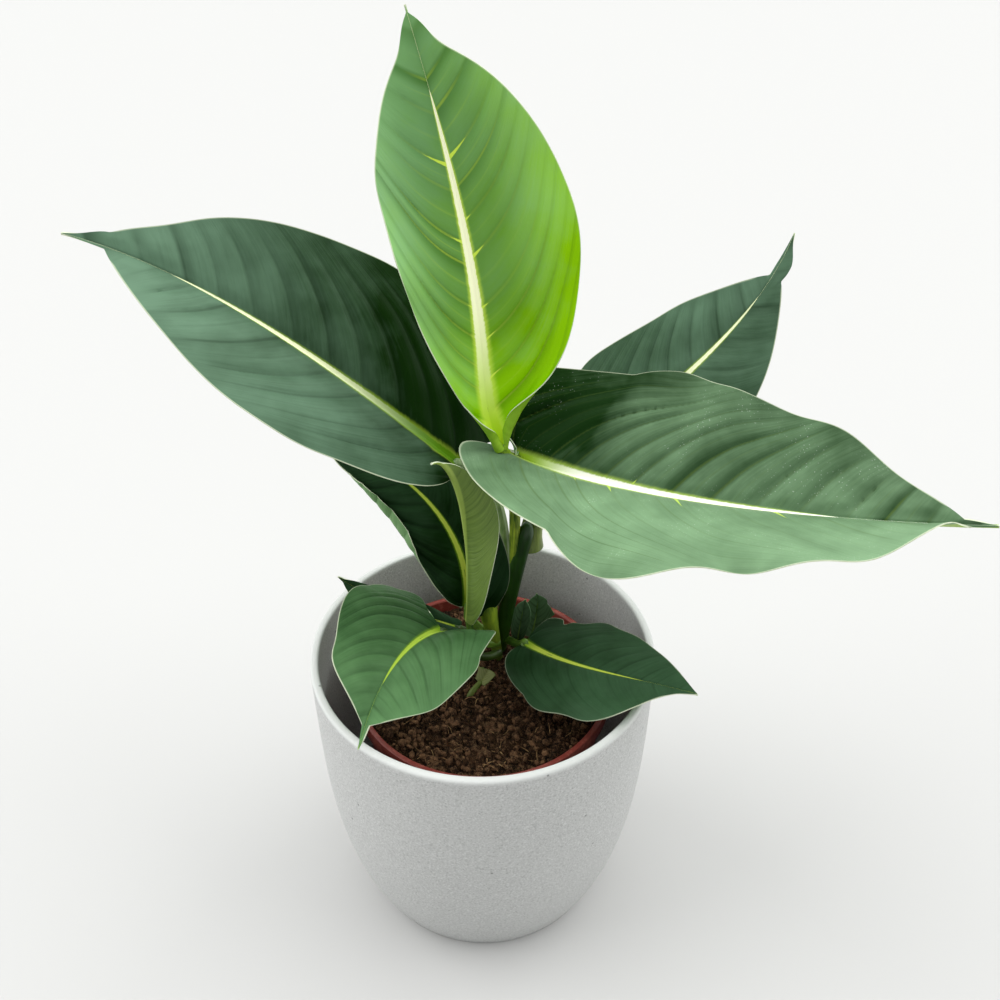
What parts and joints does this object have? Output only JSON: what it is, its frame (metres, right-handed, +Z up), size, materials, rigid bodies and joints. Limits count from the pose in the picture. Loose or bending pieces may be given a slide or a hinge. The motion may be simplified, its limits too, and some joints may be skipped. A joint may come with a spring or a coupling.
{
  "type": "potted dieffenbachia",
  "caption": "Leafy dumb cane plant in a thin nursery pot of potting mix, standing in a round bulging cover pot; broad pointed leaves fan out on short petioles.",
  "frame": {"origin": "centre of the cover pot's base, on the surface that it stands on", "axes": "+Z up along the pot's axis; -Y is the front of the plant; +X is to its right as seen from the front"},
  "size_m": [0.2981, 0.1587, 0.352],
  "materials": {
    "stoneware": "light grey unglazed stoneware with a fine speckled grain",
    "nursery_plastic": "thin brick red moulded plastic",
    "potting_mix": "crumbly brown coir and peat potting mix",
    "cane": "smooth dark green living cane",
    "sheath": "pale yellow-green leaf sheath",
    "dark_leaf": "semi-gloss deep green leaf, quilted between its side veins, with a pale midrib and margin",
    "young_leaf": "semi-gloss lime green young leaf with a cream midrib",
    "low_leaf": "satin grey-green leaf with a yellow-green midrib",
    "dried_bract": "dry straw-coloured bract"
  },
  "bodies": {
    "root": {"cover_pot": "stoneware", "nursery_pot": "nursery_plastic", "potting_mix": "potting_mix", "cane_main": "cane", "cane_left": "sheath", "leaf_upright": "young_leaf", "leaf_left": "dark_leaf", "leaf_right": "dark_leaf", "leaf_back": "dark_leaf", "leaf_inner_left": "dark_leaf", "leaf_folded": "dark_leaf", "leaf_low_left": "low_leaf", "leaf_low_right": "low_leaf", "leaf_low_back_left": "dark_leaf", "leaf_small_back": "low_leaf", "leaf_small_right": "dark_leaf", "bract_dried": "dried_bract"}
  },
  "joints": []
}
